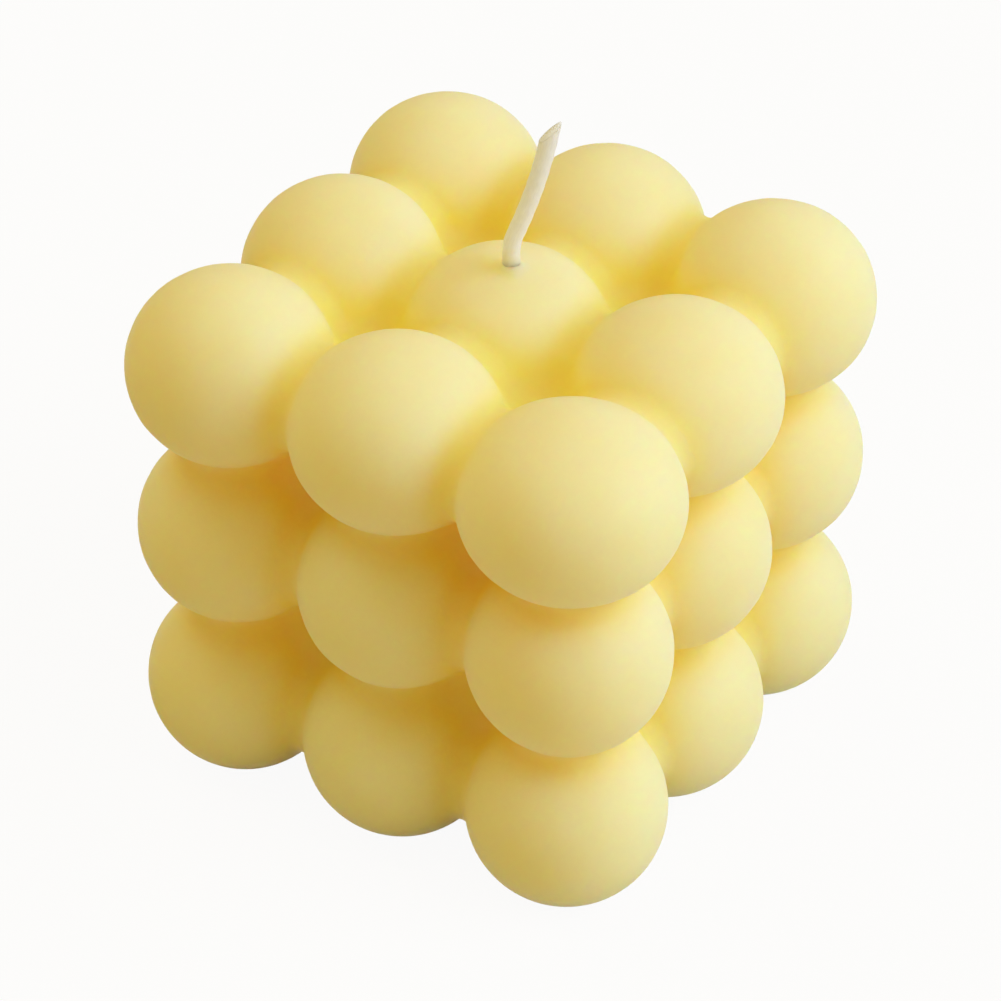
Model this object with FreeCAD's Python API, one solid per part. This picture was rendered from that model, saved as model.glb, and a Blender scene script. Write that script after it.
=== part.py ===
import FreeCAD, Part
import math
import os

from FreeCAD import Vector

# A cube candle: three by three by three balls of wax, cast in one pour, with a waxed cotton wick up the middle.
# Millimetres and degrees. +Z is up, z = 0 is the flat underside, and the Z axis is the middle of the cube.

# Sizes of the cube of balls
BALLS_PER_SIDE = 3
PITCH = 19.6             # from the middle of one ball to the middle of the next
BALL_OVERLAP = 0.8       # how far two neighbouring balls run into each other
CREASE_RADIUS = 2.2      # soft rounding where two balls meet
CREASE_SHARE = 0.95      # most of the room between two creases of one ball that their rounding may take
VALLEY_RADIUS = 7.0      # dish of wax that closes the gap between four balls
CORE_PROUD = 2.4         # how far the wax between the balls stands out past their middles, at the rim of a dish
BASE_CUT = 1.5           # what the flat pouring end takes off the bottom balls

# Sizes of the top layer, whose balls are wider than tall, because their crowns sank while the wax was soft
TOP_SPREAD = 0.2         # how much wider than the others a top ball is, from its middle to its side
TOP_FLATTENING = 0.2     # how much lower it is, from its middle to its crown
TOP_UNDERSIDE = 0.6      # how much shallower it is, from its middle to its underside
TOP_SETTLING = 0.4       # how much closer the top layer sits to the layer below it
CORNER_SLUMP = 2.05      # how much further the crown of the ball at the +X -Y corner sank
CORNER_BULGE = 0.6       # how much that ball gave way to the sides
SLUMP_REACH = 44.5       # distance from that ball at which the crowns no longer sank
MIDDLE_SINK = 0.8        # how much further the middle crown sank, round the wick
CROWN_ROUNDING = 0.15    # share of a ball's flattening by which its side curves tighter than its half-height

# Sizes of the wick
WICK_WIDTH = 1.9         # flat braid, across its wide side
WICK_THICKNESS = 1.6
WICK_X = 1.3             # the wick stands a little off the middle
WICK_Y = -1.1
WICK_STRAIGHT_TOP = 2.7  # straight stretch above the wax, before the wick leans over
WICK_BEND_RADIUS = 6.0
WICK_LEAN = 19.5         # from upright
WICK_LEAN_TOWARDS = 32.3  # direction of the lean, from +X towards +Y
WICK_FREE_LENGTH = 11.6  # from the end of the bend to the middle of the cut tip
WICK_RECOVERY = 3.5      # how much the wick straightens again on its way up
WICK_TIP_SLOPE = 44.0    # rise of the slanting scissor cut, towards the lean

# Sizes that follow
BALL_RADIUS = (PITCH + BALL_OVERLAP) / 2
WIDEST_BALL = BALL_RADIUS + TOP_SPREAD + CORNER_BULGE
TOP_DEPTH = BALL_RADIUS - TOP_UNDERSIDE
BOTTOM_LAYER_Z = BALL_RADIUS - BASE_CUT
TOP_LAYER_Z = BOTTOM_LAYER_Z + (BALLS_PER_SIDE - 1) * PITCH - TOP_SETTLING
OUTER_ROW = (BALLS_PER_SIDE - 1) * PITCH / 2
WHOLE_TURN = 360
SEAM_TURN = 45           # turns each ball's own seam line away from its neighbours
UP = Vector(0, 0, 1)
ORIGIN = Vector(0, 0, 0)


def rows():
    """Places of the rows of balls, along X or Y."""
    return [n * PITCH - OUTER_ROW for n in range(BALLS_PER_SIDE)]


def layer_heights():
    """Heights of the layers' middles."""
    return [BOTTOM_LAYER_Z + level * PITCH for level in range(BALLS_PER_SIDE - 1)] + [TOP_LAYER_Z]


def round_ball(x, y):
    """A ball of the lower layers, the same at every place."""
    return Part.makeSphere(BALL_RADIUS)


def slump(x, y):
    """How far a top ball gave way: all the way at the slumped corner, and less further off."""
    return max(0, 1 - math.hypot(x - OUTER_ROW, y + OUTER_ROW) / SLUMP_REACH)


def half_width(x, y):
    """Half the width of the top ball at a place."""
    return BALL_RADIUS + TOP_SPREAD + CORNER_BULGE * slump(x, y) ** 2


def crown_rise(x, y):
    """Height of its crown above its middle."""
    sink = MIDDLE_SINK if x == y == 0 else 0
    return BALL_RADIUS - TOP_FLATTENING - CORNER_SLUMP * slump(x, y) - sink


def slumped_arcs(x, y):
    """A top ball has two arcs: one round the side, from the underside up, and a wider one over the crown.
    Gives the side arc's middle and radius, and the crown arc's middle, with the ball's own middle at the origin."""
    width = half_width(x, y)
    rise = crown_rise(x, y)
    half_height = (rise + TOP_DEPTH) / 2
    radius = half_height - CROWN_ROUNDING * (width - half_height)
    side_middle = Vector(width - radius, 0, radius - TOP_DEPTH)
    step = rise - side_middle.z - radius
    sunk = (side_middle.x ** 2 - step ** 2) / (2 * step)
    return side_middle, radius, Vector(0, 0, side_middle.z - sunk)


def slumped_ball(x, y):
    """A ball of the top layer: its half outline, turned about the vertical."""
    side_middle, radius, crown_middle = slumped_arcs(x, y)
    crown = UP * crown_rise(x, y)
    bottom = -UP * TOP_DEPTH
    lowest = side_middle - UP * radius
    widest = side_middle + Vector(radius, 0, 0)
    over = (side_middle - crown_middle).getAngle(UP)
    join = side_middle + Vector(math.sin(over), 0, math.cos(over)) * radius
    shoulder = crown_middle + Vector(math.sin(over / 2), 0, math.cos(over / 2)) * (crown - crown_middle).Length
    outline = [Part.makeLine(bottom, lowest), Part.Arc(lowest, widest, join).toShape(),
               Part.Arc(join, shoulder, crown).toShape(), Part.makeLine(crown, bottom)]
    return Part.Face(Part.Wire(outline)).revolve(ORIGIN, UP, WHOLE_TURN)


def placed(ball, x, y, height):
    """A ball at its place, with its own seam line turned away from its neighbours."""
    ball.rotate(ORIGIN, UP, SEAM_TURN)
    ball.translate(Vector(x, y, height))
    return ball


def layer(height):
    """One layer of balls."""
    make = slumped_ball if height == TOP_LAYER_Z else round_ball
    return [placed(make(x, y), x, y, height) for x in rows() for y in rows()]


def creases(shape):
    """The edges along which two balls meet. A ball's own seam line has the same face on both sides."""
    found = []
    for edge in shape.Edges:
        sides = shape.ancestorsOfType(edge, Part.Face)
        is_seam = len(sides) < 2 or sides[0].isSame(sides[1])
        if not is_seam and not any(isinstance(side.Surface, Part.Plane) for side in sides):
            found.append(edge)
    return found


def crease_rounding():
    """Two creases that leave the same ball at a right angle have to stay clear of each other."""
    room = PITCH / math.sqrt(2) - WIDEST_BALL
    return min(CREASE_RADIUS, CREASE_SHARE * room)


def ball_cluster():
    """All the balls as one solid, with soft creases between neighbours."""
    balls = [ball for height in layer_heights() for ball in layer(height)]
    cluster = balls[0].fuse(balls[1:]).Solids[0]
    return cluster.makeFillet(crease_rounding(), creases(cluster))


def gaps(places):
    """Midpoints between neighbouring rows."""
    return [(low + high) / 2 for low, high in zip(places, places[1:])]


def valley(outward, centre):
    """A dish between four balls. Its own seam line faces away from the wax."""
    dish = Part.makeSphere(VALLEY_RADIUS)
    dish.Placement = FreeCAD.Placement(centre + outward * VALLEY_RADIUS, FreeCAD.Rotation(Vector(1, 0, 0), outward))
    return dish


def valleys():
    """The dishes of all six sides. Each just reaches the level of the balls' middles."""
    dishes = []
    for a in gaps(rows()):
        for b in gaps(rows()):
            dishes.append(valley(UP, Vector(a, b, TOP_LAYER_Z)))
            dishes.append(valley(-UP, Vector(a, b, BOTTOM_LAYER_Z)))
        for z in gaps(layer_heights()):
            for side in (-1, 1):
                dishes.append(valley(Vector(side, 0, 0), Vector(side * OUTER_ROW, a, z)))
                dishes.append(valley(Vector(0, side, 0), Vector(a, side * OUTER_ROW, z)))
    return dishes


def core():
    """The wax inside the cluster. It closes the gaps between four balls, with a dish in each."""
    reach = OUTER_ROW + CORE_PROUD
    low = BOTTOM_LAYER_Z - CORE_PROUD
    high = TOP_LAYER_Z + CORE_PROUD
    block = Part.makeBox(2 * reach, 2 * reach, high - low, Vector(-reach, -reach, low))
    return block.cut(valleys())


def below_base():
    """Everything under the flat pouring end, well past the sides of the cube."""
    reach = 2 * (OUTER_ROW + WIDEST_BALL)
    return Part.makeBox(2 * reach, 2 * reach, PITCH, Vector(-reach, -reach, -PITCH))


def wax_height_at(x, y):
    """Height of the middle top ball's crown above a point."""
    crown_middle = slumped_arcs(0, 0)[2]
    crown_radius = crown_rise(0, 0) - crown_middle.z
    return TOP_LAYER_Z + crown_middle.z + math.sqrt(crown_radius ** 2 - x ** 2 - y ** 2)


def arc_from(start, angle, turn, radius):
    """An arc in the XZ plane that leaves start at an angle from upright and turns over by turn, positive to +X.
    Gives the arc and its end."""
    side = math.copysign(1, turn)
    begin = math.radians(angle)
    centre = start + Vector(math.cos(begin), 0, -math.sin(begin)) * (side * radius)

    def at(share):
        lean = math.radians(angle + share * turn)
        return centre - Vector(math.cos(lean), 0, -math.sin(lean)) * (side * radius)

    return Part.Arc(start, at(0.5), at(1)).toShape(), at(1)


def wick_path():
    """The wick's middle line, leaning to +X: upright through the wax, one bend, then a long gentle recovery that
    runs on past the tip, so that the cut has something to cut. Gives the line and the tip."""
    foot = Vector(0, 0, wax_height_at(WICK_X, WICK_Y) + WICK_STRAIGHT_TOP)
    upright = Part.makeLine(ORIGIN, foot)
    bend, bend_end = arc_from(foot, 0, WICK_LEAN, WICK_BEND_RADIUS)
    recovery_radius = WICK_FREE_LENGTH / math.radians(WICK_RECOVERY)
    recovery, tip = arc_from(bend_end, WICK_LEAN, -WICK_RECOVERY, recovery_radius)
    spare = arc_from(tip, WICK_LEAN - WICK_RECOVERY, -WICK_RECOVERY / 2, recovery_radius)[0]
    return Part.Wire([upright, bend, recovery, spare]), tip


def wick():
    """The braid as one solid rod of oval section, with a slanting scissor cut at its tip."""
    path, tip = wick_path()
    section = Part.Ellipse(ORIGIN, WICK_WIDTH / 2, WICK_THICKNESS / 2).toShape()
    rod = path.makePipeShell([Part.Wire(section)], True, True)
    reach = WICK_FREE_LENGTH
    beyond = Part.makeBox(2 * reach, 2 * reach, reach, Vector(-reach, -reach, 0))
    beyond.rotate(ORIGIN, Vector(0, 1, 0), -WICK_TIP_SLOPE)
    beyond.translate(tip)
    rod = rod.cut(beyond)
    rod.rotate(ORIGIN, UP, WICK_LEAN_TOWARDS)
    rod.translate(Vector(WICK_X, WICK_Y, 0))
    return rod.Solids[0]


def wax_body(wick_solid):
    """One casting. The wick fills its own hole in the wax."""
    body = ball_cluster().fuse(core()).cut(below_base())
    return body.cut(wick_solid).Solids[0]


def write(name, shape):
    box = shape.BoundBox
    print(name, "valid", shape.isValid(), "solids", len(shape.Solids), "faces", len(shape.Faces),
          "volume %.1f" % shape.Volume, "size %.2f x %.2f x %.2f" % (box.XLength, box.YLength, box.ZLength))
    shape.exportStep("parts/%s.step" % name)


os.makedirs("parts", exist_ok=True)
wick_solid = wick()
write("wick", wick_solid)
write("wax_body", wax_body(wick_solid))
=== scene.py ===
# %% [markdown]
# # A cube candle of wax balls
#
# The candle is one casting: three by three by three balls of butter-yellow wax that run into each other, with a
# cotton wick standing out of the middle ball. Its sizes come from a CAD model, which is loaded first and stays
# fixed. This lesson builds the same shapes again as Blender meshes with the softness of real wax, gives them their
# materials, and sets them under a plain soft light.

# %% Load the CAD model
import bpy
import math
from mathutils import Matrix, Vector


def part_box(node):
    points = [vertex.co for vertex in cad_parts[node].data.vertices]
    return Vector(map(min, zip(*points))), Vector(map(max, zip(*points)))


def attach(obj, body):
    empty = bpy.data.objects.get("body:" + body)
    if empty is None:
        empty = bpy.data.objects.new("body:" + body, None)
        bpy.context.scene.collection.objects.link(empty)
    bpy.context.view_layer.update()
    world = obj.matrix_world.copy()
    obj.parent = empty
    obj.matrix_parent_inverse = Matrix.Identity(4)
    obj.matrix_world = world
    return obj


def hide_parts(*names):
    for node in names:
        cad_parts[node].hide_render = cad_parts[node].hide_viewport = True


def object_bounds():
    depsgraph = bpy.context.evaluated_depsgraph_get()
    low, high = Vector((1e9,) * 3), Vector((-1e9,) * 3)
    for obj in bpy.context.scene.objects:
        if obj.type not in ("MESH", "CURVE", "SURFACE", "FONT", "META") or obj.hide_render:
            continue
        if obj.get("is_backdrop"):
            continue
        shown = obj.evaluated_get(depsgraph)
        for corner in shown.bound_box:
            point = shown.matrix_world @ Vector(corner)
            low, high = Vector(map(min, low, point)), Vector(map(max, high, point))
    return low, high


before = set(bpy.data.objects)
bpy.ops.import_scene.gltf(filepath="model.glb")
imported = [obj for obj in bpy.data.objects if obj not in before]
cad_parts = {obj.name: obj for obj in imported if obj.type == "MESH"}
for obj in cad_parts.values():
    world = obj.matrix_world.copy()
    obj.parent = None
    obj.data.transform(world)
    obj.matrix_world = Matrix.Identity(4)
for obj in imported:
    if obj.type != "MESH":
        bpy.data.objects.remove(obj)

MM_PER_METRE = 1000
cad_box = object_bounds()


def in_mm(place):
    """A place in millimetres, short enough to print."""
    return [round(MM_PER_METRE * v, 2) for v in place]


for node in sorted(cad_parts):
    low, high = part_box(node)
    print(node, "from", in_mm(low), "to", in_mm(high), "mm")

# %% [markdown]
# ## Writing node trees as sums
#
# Both pieces follow a rule: the wax is a lattice of balls, and the wick is a plait that bends once. Geometry Nodes
# suit such shapes, because the rule stays readable and every size can be changed. A tree of a hundred nodes is long
# to write out node by node, so a small helper lets Python's own signs make the nodes: `a + b` adds a Math node, or a
# Vector Math node where one of the two is a place.

# %% A value that flows through a node tree
class Flow:
    """The output of a node. Arithmetic on flows adds the nodes that work it out."""

    def __init__(self, socket):
        self.socket = socket
        self.tree = socket.id_data

    def __add__(self, other):
        return calc("ADD", self, other)

    def __sub__(self, other):
        return calc("SUBTRACT", self, other)

    def __mul__(self, other):
        return calc("MULTIPLY", self, other)

    def __truediv__(self, other):
        return calc("DIVIDE", self, other)

    def __neg__(self):
        return calc("MULTIPLY", self, -1)


# %% Feed a socket, and add one node of a sum
def is_place(value):
    return isinstance(value, Flow) and value.socket.type == "VECTOR"


def feed(value, socket):
    """Gives a socket a flow, or a plain value."""
    if isinstance(value, Flow):
        socket.id_data.links.new(value.socket, socket)
    elif socket.type == "VECTOR" and not isinstance(value, tuple):
        socket.default_value = (value, value, value)
    else:
        socket.default_value = value


def calc(operation, *values):
    """Adds one Math or Vector Math node."""
    tree = next(value.tree for value in values if isinstance(value, Flow))
    over_places = any(is_place(value) for value in values)
    node = tree.nodes.new("ShaderNodeVectorMath" if over_places else "ShaderNodeMath")
    node.operation = operation
    for value, socket in zip(values, node.inputs):
        feed(value, socket)
    number_comes_out = not over_places or operation in ("LENGTH", "DOT_PRODUCT", "DISTANCE")
    return Flow(node.outputs["Value" if number_comes_out else "Vector"])


# %% Least, most and between
def least(first, *others):
    for other in others:
        first = calc("MINIMUM", first, other)
    return first


def most(first, *others):
    for other in others:
        first = calc("MAXIMUM", first, other)
    return first


def between(value, low, high):
    return least(most(value, low), high)


# %% Nodes that aren't sums
def add_node(tree, kind, feeds=(), **settings):
    """Adds a node, sets its options and feeds its named sockets."""
    node = tree.nodes.new(kind)
    for option, choice in settings.items():
        setattr(node, option, choice)
    for socket_name, value in dict(feeds).items():
        feed(value, node.inputs[socket_name])
    return node


def split(place):
    """The X, Y and Z of a place."""
    node = add_node(place.tree, "ShaderNodeSeparateXYZ", {"Vector": place})
    return [Flow(socket) for socket in node.outputs]


def place_at(tree, x, y, z):
    return Flow(add_node(tree, "ShaderNodeCombineXYZ", {"X": x, "Y": y, "Z": z}).outputs[0])


def choose(test, if_true, if_false):
    """A number that depends on whether a test is above a half."""
    node = add_node(test.tree, "GeometryNodeSwitch", {"Switch": test, "True": if_true, "False": if_false},
                    input_type="FLOAT")
    return Flow(node.outputs[0])


# %% Node groups with named sockets
SOCKETS = {"place": "NodeSocketVector", "number": "NodeSocketFloat", "shape": "NodeSocketGeometry",
           "material": "NodeSocketMaterial"}


def new_tree(name, inputs, outputs, kind="GeometryNodeTree"):
    """An empty tree. Gives the tree and its named inputs as flows."""
    tree = bpy.data.node_groups.new(name, kind)
    for label, socket in inputs.items():
        tree.interface.new_socket(label, in_out="INPUT", socket_type=SOCKETS[socket])
    for label, socket in outputs.items():
        tree.interface.new_socket(label, in_out="OUTPUT", socket_type=SOCKETS[socket])
    source = tree.nodes.new("NodeGroupInput")
    return tree, {label: Flow(source.outputs[label]) for label in inputs}


def give_out(tree, **results):
    """Feeds the named outputs of a tree."""
    end = tree.nodes.new("NodeGroupOutput")
    for label, value in results.items():
        feed(value, end.inputs[label])
    print(tree.name, "has", len(tree.nodes), "nodes")


def use(group, tree, values):
    """Places a group in another tree and gives its outputs as flows."""
    node = tree.nodes.new("GeometryNodeGroup")
    node.node_tree = group
    for label, value in values.items():
        feed(value, node.inputs[label])
    return [Flow(socket) for socket in node.outputs]


# %% [markdown]
# ## Turning a tree into a plain mesh
#
# A tree runs as a modifier. The finished piece has to be a plain mesh, because other programs can't run the tree,
# so it is evaluated once and the modifier comes off again. Each input is set by its socket's identifier, since a
# modifier doesn't know the sockets' names.

# %% The last two nodes of a tree
def give_coated(tree, shape, material):
    """Gives out a shape with its copies made real, since instances are lost when the mesh leaves Blender, and with its
    material.
    """
    plain = add_node(tree, "GeometryNodeRealizeInstances", {"Geometry": shape})
    coated = add_node(tree, "GeometryNodeSetMaterial", {"Geometry": Flow(plain.outputs[0]), "Material": material})
    give_out(tree, Shape=Flow(coated.outputs[0]))


# %% Run a tree once and keep its mesh
def grow(name, tree, sizes):
    """Runs a tree on an empty object and leaves a plain mesh in it."""
    piece = bpy.data.objects.new(name, bpy.data.meshes.new(name))
    bpy.context.collection.objects.link(piece)
    modifier = piece.modifiers.new("Shape", "NODES")
    modifier.node_group = tree
    for item in tree.interface.items_tree:
        if item.in_out == "INPUT" and item.name in sizes:
            modifier[item.identifier] = sizes[item.name]
    depsgraph = bpy.context.evaluated_depsgraph_get()
    mesh = bpy.data.meshes.new_from_object(piece.evaluated_get(depsgraph), preserve_all_data_layers=True,
                                           depsgraph=depsgraph)
    piece.modifiers.remove(modifier)
    piece.data = mesh
    mesh.name = name
    return piece


# %% Say what a piece came out as
def report(piece):
    along_axes = list(zip(*(vertex.co for vertex in piece.data.vertices)))
    low = in_mm(min(values) for values in along_axes)
    high = in_mm(max(values) for values in along_axes)
    triangles = sum(len(face.vertices) - 2 for face in piece.data.polygons)
    print(piece.name, "has", triangles, "triangles, from", low, "to", high, "mm")


# %% [markdown]
# ## The casting as a rule
#
# The wax could be twenty-seven spheres joined by a Boolean, but their creases would be as sharp as a knife, and a
# Bevel over such an edge tears. It is described by a distance instead: a group works out how far any place in space
# lies outside the wax, and the surface is where that distance is nought. Joining two shapes is then no more than
# taking the smaller of two distances, and a soft joint is a matter of arithmetic.
#
# The balls of the top layer are lower and wider than the others, because their crowns sank while the wax was soft,
# most of all at one corner. Such a ball has two arcs: one round its side, and a wider one over its crown. At any
# place one of the two counts, and so does the middle that this arc is drawn from.

# %% The sizes of the casting, in millimetres
CASTING = {
    "Pitch": 19.6,            # from the middle of one ball to the next
    "Ball Radius": 10.2,
    "Bottom Layer": 8.7,      # height of the lowest balls' middles above the flat base
    "Top Settling": 0.4,      # how much closer the top layer sits to the one below
    "Top Spread": 0.2,        # how much wider than the others a top ball is
    "Top Flattening": 0.2,    # how much lower its crown is
    "Top Underside": 0.6,     # how much shallower it is below its middle
    "Corner Slump": 2.05,     # how much further the crown of one corner ball sank
    "Corner Bulge": 0.6,      # how much that ball gave way to the sides
    "Slump Reach": 44.5,      # distance from it at which the crowns no longer sank
    "Middle Sink": 0.8,       # how much further the middle crown sank, round the wick
    "Crown Rounding": 0.15,   # share of a ball's flattening by which its side curves tighter
    "Crease": 2.2,            # radius of the rounding between two balls
    "Valley Radius": 7.0,     # radius of the dish between four balls
    "Core Proud": 2.4,        # how far the block inside stands out past the balls' middles
    "Melt": 2.4,              # how softly the rims of the dishes run into the balls
    "Base Edge": 1.2,         # how soft the rim of the flat base is
    "Wick X": 1.3,            # the wick stands a little off the middle
    "Wick Y": -1.1,
    "Waviness": 0.12,         # the bumps are less than half of this high
}
FIRST_ROW, LAST_ROW = -1, 1       # numbers of the rows, along X and along Y
BOTTOM_LEVEL, TOP_LEVEL = 0, 2    # numbers of the layers, from below
HALF_A_ROW = 0.5                  # those numbers are whole, so half of one tells two rows apart
print("balls of %.1f mm at %.1f mm" % (2 * CASTING["Ball Radius"], CASTING["Pitch"]))

# %% How far a ball of the top layer gave way
BALL_SIZES = ["Pitch", "Ball Radius", "Bottom Layer", "Top Settling", "Top Spread", "Top Flattening", "Top Underside",
              "Corner Slump", "Corner Bulge", "Slump Reach", "Middle Sink", "Crown Rounding"]


def squared(value):
    return value * value


def crown_of(given, across, deep):
    """Half-width of a top ball in the rows across and deep, and the height of its crown above its middle."""
    # The corner that sank the most is in the last row across and the first one deep.
    off_corner = calc("SQRT", squared(across - LAST_ROW) + squared(deep - FIRST_ROW)) * given["Pitch"]
    share = most(-(off_corner / given["Slump Reach"]) + 1, 0)
    in_middle = calc("LESS_THAN", calc("ABSOLUTE", across) + calc("ABSOLUTE", deep), HALF_A_ROW)
    width = given["Ball Radius"] + given["Top Spread"] + squared(share) * given["Corner Bulge"]
    rise = (given["Ball Radius"] - given["Top Flattening"] - share * given["Corner Slump"]
            - in_middle * given["Middle Sink"])
    return width, rise


# %% Which arc of a ball counts, and where its middle is
ball_group, given = new_tree("Ball of wax", {"Place": "place", "Row": "place", **dict.fromkeys(BALL_SIZES, "number")},
                             {"Middle": "place", "Radius": "number"})
across, deep, level = split(given["Row"])
on_top = calc("GREATER_THAN", level, TOP_LEVEL - HALF_A_ROW)
height = given["Bottom Layer"] + level * given["Pitch"] - on_top * given["Top Settling"]
ball_middle = place_at(ball_group, across * given["Pitch"], deep * given["Pitch"], height)

width, rise = crown_of(given, across, deep)
depth = given["Ball Radius"] - given["Top Underside"]
half_height = (rise + depth) / 2
side_radius = half_height - given["Crown Rounding"] * (width - half_height)
side_height = side_radius - depth
stand_off = width - side_radius
step = rise - side_height - side_radius
sunk = (squared(stand_off) - squared(step)) / (step * 2)

off_middle = given["Place"] - ball_middle
sideways = off_middle * place_at(ball_group, 1, 1, 0)
off_axis = calc("LENGTH", sideways)
above = split(off_middle)[2] - side_height + sunk
under_wide_arc = calc("LESS_THAN", off_axis * sunk, stand_off * above) * on_top
under_side_arc = on_top - under_wide_arc
wander = least(under_side_arc * stand_off / off_axis, 1)
lift = on_top * side_height - under_wide_arc * sunk
give_out(ball_group, Middle=ball_middle + sideways * wander + place_at(ball_group, 0, 0, lift),
         Radius=given["Ball Radius"] + under_wide_arc * (side_radius + step + sunk - given["Ball Radius"])
         + under_side_arc * (side_radius - given["Ball Radius"]))

# %% [markdown]
# ## A soft crease between two balls
#
# Roll a marble round the crease of two balls, and it touches both. The wax fills the crease up to that marble. Seen
# in the flat through both middles, the marble's middle and the two balls' middles make a triangle. Inside the
# triangle the surface is the marble's, and outside it the nearer ball's, so the three join without a kink.

# %% The distance to two balls and the fillet between them
crease_group, given = new_tree(
    "Soft crease",
    {"Place": "place", "Middle A": "place", "Radius A": "number", "Middle B": "place", "Radius B": "number",
     "Crease": "number"},
    {"Distance": "number"})
from_a = given["Place"] - given["Middle A"]
line = given["Middle B"] - given["Middle A"]
span = calc("LENGTH", line)
direction = calc("NORMALIZE", line)
along = calc("DOT_PRODUCT", from_a, direction)
off_line = calc("LENGTH", from_a - direction * along)
reach_a = given["Radius A"] + given["Crease"]
reach_b = given["Radius B"] + given["Crease"]
marble_along = (span * span + reach_a * reach_a - reach_b * reach_b) / (span * 2)
marble_off = calc("SQRT", reach_a * reach_a - marble_along * marble_along)
past_a = calc("LESS_THAN", off_line * marble_along, marble_off * along)
past_b = calc("LESS_THAN", off_line * (span - marble_along), marble_off * (span - along))
square_off = calc("POWER", along - marble_along, 2) + calc("POWER", off_line - marble_off, 2)
to_marble = given["Crease"] - calc("SQRT", square_off)
to_balls = least(calc("LENGTH", from_a) - given["Radius A"],
                 calc("DISTANCE", given["Place"], given["Middle B"]) - given["Radius B"])
give_out(crease_group, Distance=choose(past_a * past_b, to_marble, to_balls))

# %% [markdown]
# ## The whole cluster
#
# Twenty-seven balls don't need twenty-seven distances. Only the nearest ball counts, and its next neighbour in each
# of the three directions, on the side that the place lies on. At the outside of the cube the next row would be off
# the edge, so the row's number is held back, and the neighbour is the ball itself.

# %% The nearest row and the next one
def side_of(value):
    """Minus one or one, and never nought."""
    return calc("GREATER_THAN", value, 0) * 2 - 1


def nearest_rows(along, pitch, first, last):
    """Numbers of the row that is nearest, and of its neighbour towards the place."""
    row = between(calc("ROUND", along / pitch), first, last)
    return row, between(row + side_of(along - row * pitch), first, last)


SIZES = {label: "number" for label in CASTING}
cluster_group, given = new_tree("Cluster of balls", {"Place": "place", **SIZES}, {"Distance": "number"})
x, y, z = split(given["Place"])
row_x, next_x = nearest_rows(x, given["Pitch"], FIRST_ROW, LAST_ROW)
row_y, next_y = nearest_rows(y, given["Pitch"], FIRST_ROW, LAST_ROW)
row_z, next_z = nearest_rows(z - given["Bottom Layer"], given["Pitch"], BOTTOM_LEVEL, TOP_LEVEL)


def ball(*row):
    """Middle and radius of the ball in a row."""
    return use(ball_group, cluster_group, {"Place": given["Place"], "Row": place_at(cluster_group, *row),
                                           **{label: given[label] for label in BALL_SIZES}})


own = ball(row_x, row_y, row_z)
distances = []
for other in (ball(next_x, row_y, row_z), ball(row_x, next_y, row_z), ball(row_x, row_y, next_z)):
    distances += use(crease_group, cluster_group,
                     {"Place": given["Place"], "Middle A": own[0], "Radius A": own[1], "Middle B": other[0],
                      "Radius B": other[1], "Crease": given["Crease"]})
give_out(cluster_group, Distance=least(*distances))

# %% [markdown]
# ## The wax between four balls
#
# Where four balls meet there is a gap that would run right into the candle. In the mould it fills with wax, which
# closes it with a small dish. So a block of wax stands inside the cluster, with a round hollow in front of each gap.
# The block's edges stay hidden inside the balls.

# %% The distance to the block with its dishes
core_group, given = new_tree("Core with dishes", {"Place": "place", **SIZES}, {"Distance": "number"})
x, y, z = split(given["Place"])
outer_row = given["Pitch"]
top_layer = given["Bottom Layer"] + given["Pitch"] * TOP_LEVEL - given["Top Settling"]
half_height = (top_layer - given["Bottom Layer"]) / 2
mid_height = given["Bottom Layer"] + half_height
side_x = side_of(x)
side_y = side_of(y)
side_z = side_of(z - mid_height)
gap_x = side_x * given["Pitch"] / 2
gap_y = side_y * given["Pitch"] / 2
gap_z = mid_height + side_z * half_height / 2
out = outer_row + given["Valley Radius"]
dishes = [place_at(core_group, side_x * out, gap_y, gap_z),
          place_at(core_group, gap_x, side_y * out, gap_z),
          place_at(core_group, gap_x, gap_y, mid_height + side_z * (half_height + given["Valley Radius"]))]
inside_dish = [given["Valley Radius"] - calc("DISTANCE", given["Place"], dish) for dish in dishes]
block = most(calc("ABSOLUTE", x) - (outer_row + given["Core Proud"]),
             calc("ABSOLUTE", y) - (outer_row + given["Core Proud"]),
             calc("ABSOLUTE", z - mid_height) - (half_height + given["Core Proud"]))
give_out(core_group, Distance=most(block, *inside_dish))

# %% [markdown]
# ## The foot of the wick and the pouring end
#
# Liquid wax creeps a little way up the cotton and sets there as a tiny cone. The underside is where the mould was
# filled: it is flat, its rims are slightly rounded, and it has sunk a little round the wick, as cooling wax does. A
# faint waviness, some hundredths of a millimetre, keeps the balls from looking machined.

# %% The distance to the finished casting
WICK_HUG = 0.8        # half-width of the stem of wax in the wick, a little less than the wick's own
WICK_CREEP = 0.5      # how far up the wick the wax climbs
CREEP_SPREAD = 2.6    # how softly it does so
SINK = 0.35           # depth of the dimple in the underside
SINK_WIDTH = 5.0      # from the wick to the dimple's rim
WAVE_LENGTH = 14.0    # size of the bumps of the waviness, which fades out towards the flat base

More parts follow.
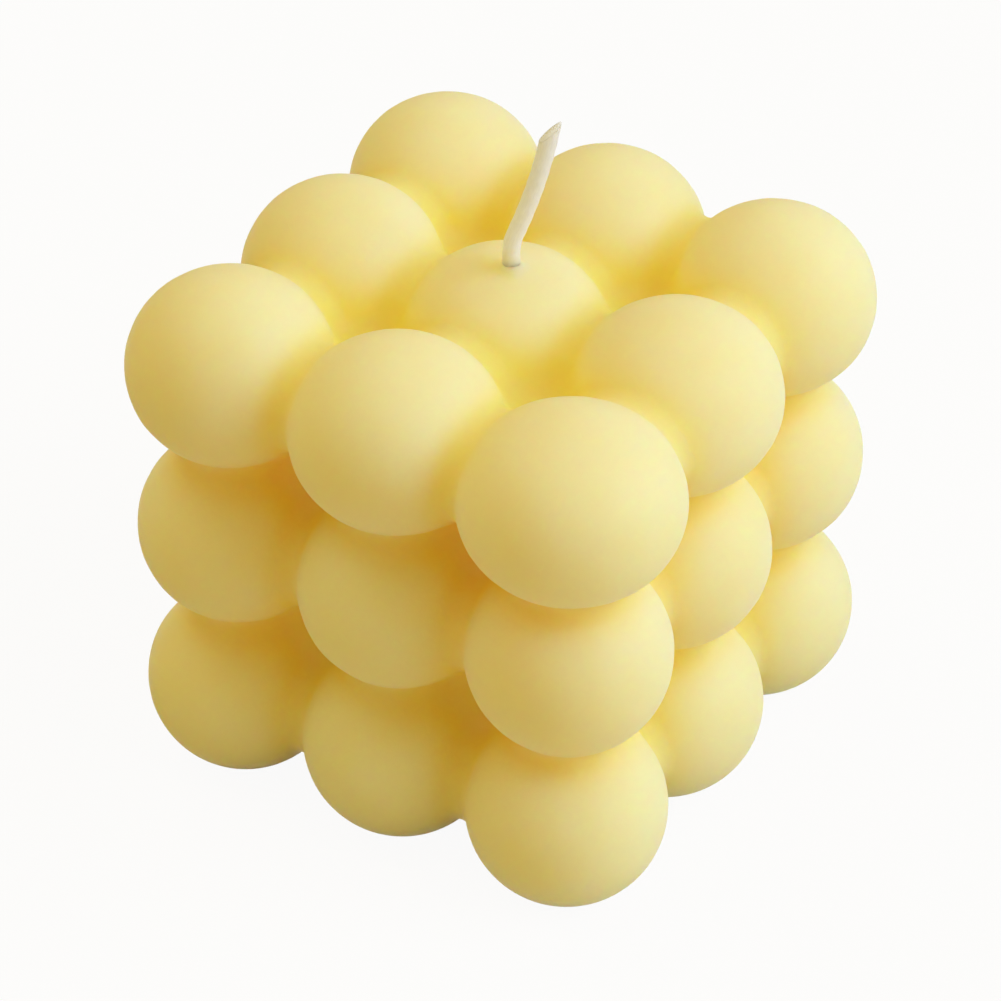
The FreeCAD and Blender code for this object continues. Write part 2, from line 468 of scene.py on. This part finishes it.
wax_group, given = new_tree("Distance to the wax", {"Place": "place", **SIZES}, {"Distance": "number"})
x, y, z = split(given["Place"])
balls, = use(cluster_group, wax_group, given)
core, = use(core_group, wax_group, given)
melted = calc("SMOOTH_MIN", balls, core, given["Melt"])
from_wick = calc("SQRT", calc("POWER", x - given["Wick X"], 2) + calc("POWER", y - given["Wick Y"], 2))
wick_ball_crown = crown_of(given, x * 0, y * 0)[1]
crown = given["Bottom Layer"] + given["Pitch"] * TOP_LEVEL - given["Top Settling"] + wick_ball_crown
stem = most(from_wick - WICK_HUG, z - (crown + WICK_CREEP))
crept = calc("SMOOTH_MIN", melted, stem, CREEP_SPREAD)
sink = most(-(from_wick / SINK_WIDTH) + 1, 0)
cast = calc("SMOOTH_MAX", crept, sink * sink * SINK - z, given["Base Edge"])
noise = add_node(wax_group, "ShaderNodeTexNoise", {"Vector": given["Place"] / WAVE_LENGTH, "Detail": 1.0})
wave = (Flow(noise.outputs[0]) - 0.5) * given["Waviness"]
above_base = between(z / WAVE_LENGTH, 0, 1)
give_out(wax_group, Distance=cast + wave * above_base)

# %% [markdown]
# ## From distance to mesh
#
# Volume Cube works the distance out on a fine grid, and Volume to Mesh lays a net of quads through the places where
# it is nought. The net is only as true as the grid, so each of its points is then moved along its normal by the
# distance that is left, twice over.
#
# The material paints shade into the creases, so it needs to know how deep in a crease a point lies. For that the
# places of the mesh's points are smoothed until only a lumpy block is left. Out on a crown a point stands proud of
# that block, and down in a crease it lies under it. The height between the two is kept as an attribute, nought on the
# crowns and one at the bottom of the dishes.

# %% The grid round the wax, in millimetres
MESH_STEP = 0.62    # from one point of the grid to the next
ROOM = 2.0          # clear space between the wax and the sides of the grid

wax_tree, given = new_tree("Cast wax", {**SIZES, "Mesh Step": "number", "Material": "material"}, {"Shape": "shape"})
sizes = {label: given[label] for label in CASTING}
spot = Flow(wax_tree.nodes.new("GeometryNodeInputPosition").outputs[0])
facing = Flow(wax_tree.nodes.new("GeometryNodeInputNormal").outputs[0])


def wax_distance(place):
    return use(wax_group, wax_tree, {"Place": place, **sizes})[0]


side = given["Pitch"] + given["Ball Radius"] + given["Top Spread"] + given["Corner Bulge"] + ROOM
top = given["Bottom Layer"] + given["Pitch"] * TOP_LEVEL + given["Ball Radius"] + ROOM
grid = add_node(wax_tree, "GeometryNodeVolumeCube", {
    "Density": between(-wax_distance(spot), -1, 1), "Background": -1.0,
    "Min": place_at(wax_tree, -side, -side, -ROOM), "Max": place_at(wax_tree, side, side, top),
    "Resolution X": side * 2 / given["Mesh Step"], "Resolution Y": side * 2 / given["Mesh Step"],
    "Resolution Z": (top + ROOM) / given["Mesh Step"]})

# %% The net, pulled on to the surface
PULLS = 2
net = add_node(wax_tree, "GeometryNodeVolumeToMesh", {"Volume": Flow(grid.outputs[0]), "Threshold": 0.0})
shape = Flow(net.outputs[0])
for pull in range(PULLS):
    shape = Flow(add_node(wax_tree, "GeometryNodeSetPosition", {
        "Geometry": shape, "Offset": facing * -wax_distance(spot)}).outputs[0])

# %% How deep in a crease each point lies
SMOOTHINGS = 140      # how often the places are smoothed
CROWN_PROUD = 1.35    # how far a crown stands out of the smoothed block, in millimetres
DISH_DEPTH = 2.1      # how deep the bottom of a dish lies under it

block = Flow(add_node(wax_tree, "GeometryNodeBlurAttribute", {"Value": spot, "Iterations": SMOOTHINGS},
                      data_type="FLOAT_VECTOR").outputs[0])
buried = calc("DOT_PRODUCT", block - spot, facing)
# the mask by which the wax material paints shade into the creases
crevice = between((buried + CROWN_PROUD) / (CROWN_PROUD + DISH_DEPTH), 0, 1)
stored = add_node(wax_tree, "GeometryNodeStoreNamedAttribute", {
    "Geometry": shape, "Name": "crevice", "Value": crevice}, data_type="FLOAT", domain="POINT")

# %% Smooth, in metres, and with its material
IN_METRES = (1 / MM_PER_METRE,) * 3
smooth = add_node(wax_tree, "GeometryNodeSetShadeSmooth", {"Geometry": Flow(stored.outputs[0])})
scaled = add_node(wax_tree, "GeometryNodeTransform", {"Geometry": Flow(smooth.outputs[0]), "Scale": IN_METRES})
give_coated(wax_tree, Flow(scaled.outputs[0]), given["Material"])

# %% [markdown]
# ## The wick as a straight plait that is bent
#
# A candle's wick is a flat plait of three cotton strands, stiff with wax. It could be three tubes woven round each
# other, but the coat of wax fills the gaps between them and leaves only a faint relief. So a straight rod of oval
# section gets the relief of three strands that change sides, is cut off slanting as by scissors, and is then bent
# the way the real one is: upright through the wax, over in one short bend, and slowly a little straighter again.

# %% The sizes of the wick, in millimetres and degrees
WICK = {
    "Width": 1.86,            # across the plait's wide side
    "Thickness": 1.56,
    "Upright": 57.8,          # from the base to where it begins to bend
    "Bend Radius": 6.0,
    "Lean": 22.0,             # from upright, at the end of the bend
    "Free Length": 11.75,     # from there to the tip
    "Recovery": 12.0,         # how much it straightens again on the way
    "Tip Slope": 44.0,        # of the cut, rising towards the lean
    "Plait Length": 5.2,      # of one full swing of a strand
    "Relief": 0.06,           # height of the strands
    "Foot X": CASTING["Wick X"],
    "Foot Y": CASTING["Wick Y"],
    "Lean Towards": 32.3,     # from +X towards +Y
}
print("the wick is upright for %.1f mm, and leans over by %.0f degrees" % (WICK["Upright"], WICK["Lean"]))

# %% One strand of the plait
STRAND_WIDTH = 0.62    # half the width of a strand, as a share of the wick's half-width
STRAND_SWING = 0.6     # how far it swings to each side, as such a share
STRAND_DIP = 0.35      # how much it rises in front of the others, and sinks behind them, as a share of its height

strand_group, given = new_tree(
    "Strand", {"Turn": "number", "Across": "number", "Face": "number"}, {"Height": "number"})
aside = given["Across"] - calc("SINE", given["Turn"]) * STRAND_SWING
in_front = calc("SINE", given["Turn"] * 2) * given["Face"]
ridge = most(-calc("POWER", aside / STRAND_WIDTH, 2) + 1, 0)
give_out(strand_group, Height=ridge * (in_front * STRAND_DIP + (1 - STRAND_DIP)))

# %% The straight rod, and how far along the wick each of its rings lies
RINGS = 240
SIDES = 48
HIDDEN = 55.0          # length that never shows, in millimetres
HIDDEN_RINGS = 0.05    # share of the rings that it gets
SPARE = 1.2            # length past the tip, in widths, for the slanting cut to take away

wick_tree, given = new_tree("Waxed wick", {**{label: "number" for label in WICK}, "Material": "material"},
                            {"Shape": "shape"})
rod = add_node(wick_tree, "GeometryNodeMeshCylinder", {
    "Vertices": SIDES, "Side Segments": RINGS, "Radius": 1.0, "Depth": 1.0}, fill_type="TRIANGLE_FAN")
spot = Flow(wick_tree.nodes.new("GeometryNodeInputPosition").outputs[0])
x, y, share = split(spot + place_at(wick_tree, 0, 0, 0.5))    # the rod's middle is at nought
lean = calc("RADIANS", given["Lean"])
recovery = calc("RADIANS", given["Recovery"])
bend_length = given["Bend Radius"] * lean
tip = given["Upright"] + bend_length + given["Free Length"]
shown = tip + given["Width"] * SPARE - HIDDEN
length = between(share / HIDDEN_RINGS, 0, 1) * HIDDEN + most(share - HIDDEN_RINGS, 0) / (1 - HIDDEN_RINGS) * shown

# %% The relief of the strands
STRANDS = 3
turn = length / given["Plait Length"] * math.tau
face = calc("SIGN", y)
strands = [use(strand_group, wick_tree, {"Turn": turn + strand * math.tau / STRANDS, "Across": x, "Face": face})[0]
           for strand in range(STRANDS)]
plump = (most(*strands) - 1) * given["Relief"]
across = x * (given["Width"] / 2 + plump)
deep = y * (given["Thickness"] / 2 + plump)

# %% The slanting cut and the bend
cut_slope = calc("TANGENT", calc("RADIANS", given["Tip Slope"]) + lean - recovery)
length = least(length, tip + across * cut_slope)
bent = between(length - given["Upright"], 0, bend_length) / given["Bend Radius"]
freed = most(length - given["Upright"] - bend_length, 0)
bow = recovery / given["Free Length"]
angle = bent - freed * bow
path_x = (-calc("COSINE", bent) + 1) * given["Bend Radius"] + (calc("COSINE", angle) - calc("COSINE", bent)) / bow
path_z = (least(length, given["Upright"]) + calc("SINE", bent) * given["Bend Radius"]
          + (calc("SINE", bent) - calc("SINE", angle)) / bow)
bent_place = place_at(wick_tree, path_x + across * calc("COSINE", angle), deep,
                      path_z - across * calc("SINE", angle))

# %% The plait's own map: the share of a turn round the wick, and the millimetres along it
around = calc("ARCTAN2", y, x) / math.tau
mapped = add_node(wick_tree, "GeometryNodeStoreNamedAttribute", {
    "Geometry": Flow(rod.outputs["Mesh"]), "Name": "plait", "Value": place_at(wick_tree, around, length, 0)},
    data_type="FLOAT_VECTOR", domain="POINT")

# %% Bend the rod, keep its cut flat, and put it in its place
shaped = add_node(wick_tree, "GeometryNodeSetPosition", {
    "Geometry": Flow(mapped.outputs[0]), "Position": bent_place})
smooth = add_node(wick_tree, "GeometryNodeSetShadeSmooth", {
    "Geometry": Flow(shaped.outputs[0]), "Selection": Flow(rod.outputs["Side"])})
foot = place_at(wick_tree, given["Foot X"] / MM_PER_METRE, given["Foot Y"] / MM_PER_METRE, 0)
turned = add_node(wick_tree, "GeometryNodeTransform", {
    "Geometry": Flow(smooth.outputs[0]), "Translation": foot,
    "Rotation": place_at(wick_tree, 0, 0, calc("RADIANS", given["Lean Towards"])), "Scale": IN_METRES})
give_coated(wick_tree, Flow(turned.outputs[0]), given["Material"])

# %% [markdown]
# ## A mottling that both finishes share
#
# Wax is never quite even: it sets in faint clouds, and a fine bloom of crystals takes the shine off its skin. The
# wick is coated with the same wax. One shader group makes both effects, as a mask of clouds and one of grain. Each
# material sets its own sizes for them, and lets them act on its own colours and its own skin.

# %% The shared group of clouds and grain
bloom_group, given = new_tree(
    "Wax bloom", {"Place": "place", "Cloud Scale": "number", "Grain Scale": "number"},
    {"Clouds": "number", "Grain": "number"}, kind="ShaderNodeTree")
clouds = add_node(bloom_group, "ShaderNodeTexNoise", {
    "Vector": given["Place"], "Scale": given["Cloud Scale"], "Detail": 3.0, "Roughness": 0.55})
grain = add_node(bloom_group, "ShaderNodeTexNoise", {
    "Vector": given["Place"], "Scale": given["Grain Scale"], "Detail": 4.0, "Roughness": 0.65})
give_out(bloom_group, Clouds=Flow(clouds.outputs[0]), Grain=Flow(grain.outputs[0]))


# %% Helpers for the materials
def new_material(name):
    """A material with its Principled shader and the object's own coordinates."""
    material = bpy.data.materials.new(name)
    material.use_nodes = True
    tree = material.node_tree
    place = Flow(tree.nodes.new("ShaderNodeTexCoord").outputs["Object"])
    return material, tree, tree.nodes["Principled BSDF"], place


def bloom(tree, place, clouds, grain):
    """The shared group in a material, with its own values: how many clouds and grains there are in a metre."""
    node = add_node(tree, "ShaderNodeGroup", node_tree=bloom_group)
    feed(place, node.inputs["Place"])
    feed(clouds, node.inputs["Cloud Scale"])
    feed(grain, node.inputs["Grain Scale"])
    return Flow(node.outputs["Clouds"]), Flow(node.outputs["Grain"])


def spread(value, low, high, new_low, new_high):
    """Stretches a range of values to a new one."""
    node = add_node(value.tree, "ShaderNodeMapRange", {
        "Value": value, "From Min": low, "From Max": high, "To Min": new_low, "To Max": new_high},
        interpolation_type="SMOOTHSTEP")
    return Flow(node.outputs[0])


def mix_colours(share, first, second):
    """A colour between two others."""
    node = add_node(share.tree, "ShaderNodeMix", data_type="RGBA")
    feed(share, node.inputs["Factor"])
    for colour, socket in ((first, node.inputs[6]), (second, node.inputs[7])):
        feed(colour if isinstance(colour, Flow) else (*colour, 1), socket)
    return Flow(node.outputs[2])


def raise_skin(principled, height, strength, distance):
    """A bump in the skin of a material."""
    bump = add_node(height.tree, "ShaderNodeBump", {"Height": height, "Strength": strength, "Distance": distance})
    feed(Flow(bump.outputs[0]), principled.inputs["Normal"])


def set_evenly(principled, values):
    """What is the same all over a piece is set on the shader's own sockets."""
    for label, value in values.items():
        principled.inputs[label].default_value = value


# %% [markdown]
# ## The wax
#
# Candle wax is pale where it stands out into the light, and turns to a deep golden yellow in the creases, where light
# has gone through wax many times before it comes out. Subsurface scattering carries red light about a centimetre
# through the wax, green a little less, and blue hardly at all, so the edges of a shadow glow warm. It can't carry
# light as far as real wax does, so the crevice attribute of the mesh paints that warm shade into the base colour of
# the creases, as a golden painted shade. The dishes on top lie open and shallow to the light from above, so their
# painted shade is a lighter gold. The bloom gives the satin skin its grain, and its gloss is low, for wax has a duller
# skin than glass or varnish.

# %% The colours of the wax
PALE_WAX = (0.94, 0.82, 0.45)
DEEP_WAX = (0.94, 0.80, 0.40)          # the faint clouds
# painted shade: this gold in the side creases stands in for light bounced between the balls and through the wax
PAINTED_CREASE_SHADE = (0.99, 0.75, 0.15)        # the creases on the sides
# painted light: the dishes on top get a lighter gold, because light falls into them from above
PAINTED_DISH_SHADE = (0.99, 0.81, 0.16)    # the dishes on top
WAX_CLOUDS = 70.0
WAX_GRAIN = 900.0
CLOUD_EDGE = (0.35, 0.65)              # noise from which a cloud fades in, and at which it is full
CREASE_SHADE_EDGE = (0.05, 0.8)                # crevice values between which the gold comes in
TOP_EDGE = (0.041, 0.047)              # heights between which the sides end and the top begins, in metres

wax_material, tree, principled, place = new_material("butter_yellow_wax")
clouds, grain = bloom(tree, place, WAX_CLOUDS, WAX_GRAIN)
open_wax = mix_colours(spread(clouds, *CLOUD_EDGE, 0, 1), PALE_WAX, DEEP_WAX)
crevice = Flow(add_node(tree, "ShaderNodeAttribute", attribute_name="crevice").outputs["Fac"])
# the painted shade: gold in the creases of the sides, a lighter gold in the dishes on top
painted_shade_colour = mix_colours(spread(split(place)[2], *TOP_EDGE, 0, 1), PAINTED_CREASE_SHADE, PAINTED_DISH_SHADE)
feed(mix_colours(spread(crevice, *CREASE_SHADE_EDGE, 0, 1), open_wax, painted_shade_colour), principled.inputs["Base Color"])

# %% The skin of the wax, and the light inside it
GRAIN_RANGE = (0.3, 0.7)               # noise between which the grain goes from smooth to rough
WAX_ROUGH = (0.48, 0.58)
WAX_BUMP = (0.12, 0.0002)              # strength, and height in metres
WAX_REACH = (1.0, 0.6, 0.08)           # how far red, green and blue light go, as shares of the depth
WAX_DEPTH = 0.012                      # in metres

feed(spread(grain, *GRAIN_RANGE, *WAX_ROUGH), principled.inputs["Roughness"])
raise_skin(principled, grain, *WAX_BUMP)
set_evenly(principled, {"IOR": 1.44, "Specular IOR Level": 0.2, "Subsurface Weight": 1.0,
                        "Subsurface Radius": WAX_REACH, "Subsurface Scale": WAX_DEPTH})
print(wax_material.name, "has", len(tree.nodes), "nodes")

# %% [markdown]
# ## The waxed cotton
#
# The cotton is bleached white, with a cool lilac cast beside the yellow wax, and a thin coat of wax smooths it. Its
# fibres run along the plait, so their pattern is read from the map that the tree stored, drawn out along its length.
# At the foot, the coat is thick and as yellow as the candle.

# %% The colours of the cotton
COTTON = (0.86, 0.865, 1.0)
COTTON_SHADE = (0.81, 0.815, 0.97)     # between the fibres
FOOT_TINT = (0.92, 0.86, 0.60)
COTTON_CLOUDS = 500.0
COTTON_GRAIN = 2500.0
FIBRES = (40.0, 1.2, 1.0)              # fibres round the wick, and how often they change in each millimetre
FIBRE_EDGE = (0.35, 0.7)
FOOT_EDGE = (0.0576, 0.0594)           # heights between which the thick coat of the foot ends, in metres
EDGE_WANDER = 0.001                    # how unevenly it does so, in metres

cotton_material, tree, principled, place = new_material("waxed_white_cotton")
clouds, grain = bloom(tree, place, COTTON_CLOUDS, COTTON_GRAIN)
plait = Flow(add_node(tree, "ShaderNodeAttribute", attribute_name="plait").outputs["Vector"])
stretched = plait * place_at(tree, *FIBRES)
fibres = Flow(add_node(tree, "ShaderNodeTexNoise", {"Vector": stretched, "Scale": 1.0, "Detail": 2.0}).outputs[0])
cotton = mix_colours(spread(fibres, *FIBRE_EDGE, 0, 1), COTTON, COTTON_SHADE)
near_foot = spread(split(place)[2] + clouds * EDGE_WANDER, *FOOT_EDGE, 1, 0)
feed(mix_colours(near_foot, cotton, FOOT_TINT), principled.inputs["Base Color"])

# %% The skin of the cotton, and the light inside it
COTTON_ROUGH = (0.50, 0.68)
COTTON_BUMP = (0.25, 0.0001)           # strength, and height in metres
COTTON_REACH = (1.0, 1.0, 1.0)         # all colours go as far, so the cotton stays white
COTTON_DEPTH = 0.004                   # in metres

feed(spread(grain, *GRAIN_RANGE, *COTTON_ROUGH), principled.inputs["Roughness"])
raise_skin(principled, fibres, *COTTON_BUMP)
set_evenly(principled, {"Specular IOR Level": 0.8, "Sheen Weight": 0.3, "Subsurface Weight": 1.0,
                        "Subsurface Radius": COTTON_REACH, "Subsurface Scale": COTTON_DEPTH})
print(cotton_material.name, "has", len(tree.nodes), "nodes")

# %% [markdown]
# ## Making the two pieces
#
# Each tree runs once with the sizes from above. The new meshes stand for the two solids of the CAD model, which are
# hidden, and ride on the candle's only body.

# %% Make the wax body
wax_body = grow("cast_wax", wax_tree, {**CASTING, "Mesh Step": MESH_STEP, "Material": wax_material})
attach(wax_body, "root")
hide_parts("wax_body")
report(wax_body)

# %% Make the wick
wick = grow("plaited_wick", wick_tree, {**WICK, "Material": cotton_material})
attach(wick, "root")
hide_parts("wick")
report(wick)

# %% [markdown]
# ## The floor and the surround
#
# The candle stands on a plain pale floor, as in a small photo studio. A surround, like the warm walls of a room, fills
# the shadows, so the shaded side of each ball is golden. To the camera alone the surround is white and the floor is
# lifted almost to white. It is not lifted all the way, so it keeps a trace of the candle's shadow. More light could
# make the floor white as well, but it would bleach the wax too.

# %% The floor
FLOOR_HALF = 3.0    # half its width, in metres
corners = [(x, y, 0) for x, y in ((-FLOOR_HALF, -FLOOR_HALF), (FLOOR_HALF, -FLOOR_HALF),
                                  (FLOOR_HALF, FLOOR_HALF), (-FLOOR_HALF, FLOOR_HALF))]
floor = bpy.data.objects.new("floor", bpy.data.meshes.new("floor"))
floor.data.from_pydata(corners, [], [(0, 1, 2, 3)])
bpy.context.collection.objects.link(floor)
floor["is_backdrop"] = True
print("the floor is %.0f m wide" % (2 * FLOOR_HALF))


# %% A mask for what is seen directly
def seen_directly(tree):
    """One for what the camera sees straight, in a mirror or through glass, and nought for other light."""
    path = tree.nodes.new("ShaderNodeLightPath")
    return most(*[Flow(path.outputs[ray]) for ray in ("Is Camera Ray", "Is Glossy Ray", "Is Transmission Ray")])


# %% The floor's material
FLOOR_COLOUR = (0.76, 0.69, 0.54)
FLOOR_LIFT = 0.94    # how far it is lifted to white, for the camera

floor_material, tree, principled, _ = new_material("pale_floor")
set_evenly(principled, {"Base Color": (*FLOOR_COLOUR, 1), "Roughness": 0.9, "Specular IOR Level": 0.1})
white = add_node(tree, "ShaderNodeEmission", {"Strength": 1.0})
lifted = tree.nodes.new("ShaderNodeMixShader")
feed(seen_directly(tree) * FLOOR_LIFT, lifted.inputs[0])
tree.links.new(principled.outputs[0], lifted.inputs[1])
tree.links.new(white.outputs[0], lifted.inputs[2])
tree.links.new(lifted.outputs[0], tree.nodes["Material Output"].inputs["Surface"])
floor.data.materials.append(floor_material)
print(floor_material.name, "has", len(tree.nodes), "nodes")

# %% The surround
SURROUND_LIGHT = 0.445
SURROUND_COLOUR = (1.0, 0.78, 0.19)

world = bpy.data.worlds.new("studio")
world.use_nodes = True
bpy.context.scene.world = world
background = world.node_tree.nodes["Background"]
direct = seen_directly(world.node_tree)
feed(mix_colours(direct, SURROUND_COLOUR, (1, 1, 1)), background.inputs["Color"])
feed(direct * (1 - SURROUND_LIGHT) + SURROUND_LIGHT, background.inputs["Strength"])
print("the surround's strength is 1 for the camera and", SURROUND_LIGHT, "for the candle")


# %% [markdown]
# ## The lamps
#
# Two square lamps give a light that is soft enough to have no sharp shadows. The key stands high on the right and is
# cool, like the sky in a window, so that its light and the yellow of the wax come out as a pale cream. The fill is
# weak and nearly white. It stands high on the left, and keeps the dishes on top from going dark. Both could be one big
# dome of light, but then no ball would have a lit and a shaded side.

# %% A lamp that faces the candle
CANDLE_MIDDLE = Vector((0, 0, 0.03))
LAMP_SIZE = 0.9    # in metres


def looking_along(direction):
    """The turn of a lamp or a camera that looks along a direction."""
    return direction.to_track_quat("-Z", "Y").to_matrix().to_4x4()


def area_lamp(name, place, power, colour):
    """A square soft lamp that faces the candle."""
    lamp = bpy.data.lights.new(name, "AREA")
    lamp.size = LAMP_SIZE
    lamp.energy = power
    lamp.color = colour
    holder = bpy.data.objects.new(name, lamp)
    bpy.context.collection.objects.link(holder)
    holder.matrix_world = Matrix.Translation(place) @ looking_along(CANDLE_MIDDLE - Vector(place))
    print("the", name, "gives", power, "watts")


# %% The key and the fill
KEY_PLACE = (1.01, 0.29, 0.72)
KEY_POWER = 15.0
KEY_COLOUR = (0.53, 0.68, 1.0)
FILL_PLACE = (-0.60, -0.10, 1.05)
FILL_POWER = 3.5
FILL_COLOUR = (1.0, 0.94, 0.74)

area_lamp("key", KEY_PLACE, KEY_POWER, KEY_COLOUR)
area_lamp("fill", FILL_PLACE, FILL_POWER, FILL_COLOUR)

# %% [markdown]
# ## The camera
#
# The camera looks down on a corner of the cube from the front, as one looks at a candle on a table. Its lens is long,
# so the cube's edges stay nearly parallel. Its place was fitted to the outlines of the balls, which is why the
# numbers aren't round.

# %% The camera
AIM = Vector((0.00006, -0.00100, 0.02711))
AZIMUTH = math.radians(32.15)      # from the front towards the right
ELEVATION = math.radians(36.51)
ROLL = math.radians(0.133)
DISTANCE = 0.3723                  # in metres
SENSOR_WIDTH = 36.0                # in millimetres, as the lens is
LENS = 130.33
CLIP_START = 0.01

back = Vector((math.cos(ELEVATION) * math.sin(AZIMUTH), -math.cos(ELEVATION) * math.cos(AZIMUTH),
               math.sin(ELEVATION)))
camera = bpy.data.objects.new("camera", bpy.data.cameras.new("camera"))
camera.data.sensor_width = SENSOR_WIDTH
camera.data.lens = LENS
camera.data.clip_start = CLIP_START
bpy.context.collection.objects.link(camera)
camera.matrix_world = Matrix.Translation(AIM + back * DISTANCE) @ looking_along(-back) @ Matrix.Rotation(ROLL, 4, "Z")
bpy.context.scene.camera = camera
bpy.context.scene.view_settings.view_transform = "Standard"
print("the camera stands at", in_mm(camera.matrix_world.translation), "mm")

# %% [markdown]
# ## Measuring
#
# The box round the new meshes is printed beside the box round the CAD model. The tip of the wick follows the real one
# a little more closely here, so there the two can differ by up to half a millimetre.

# %% Measure and finish
visual_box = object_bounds()
print("CAD box", [in_mm(corner) for corner in cad_box])
print("visual box", [in_mm(corner) for corner in visual_box])
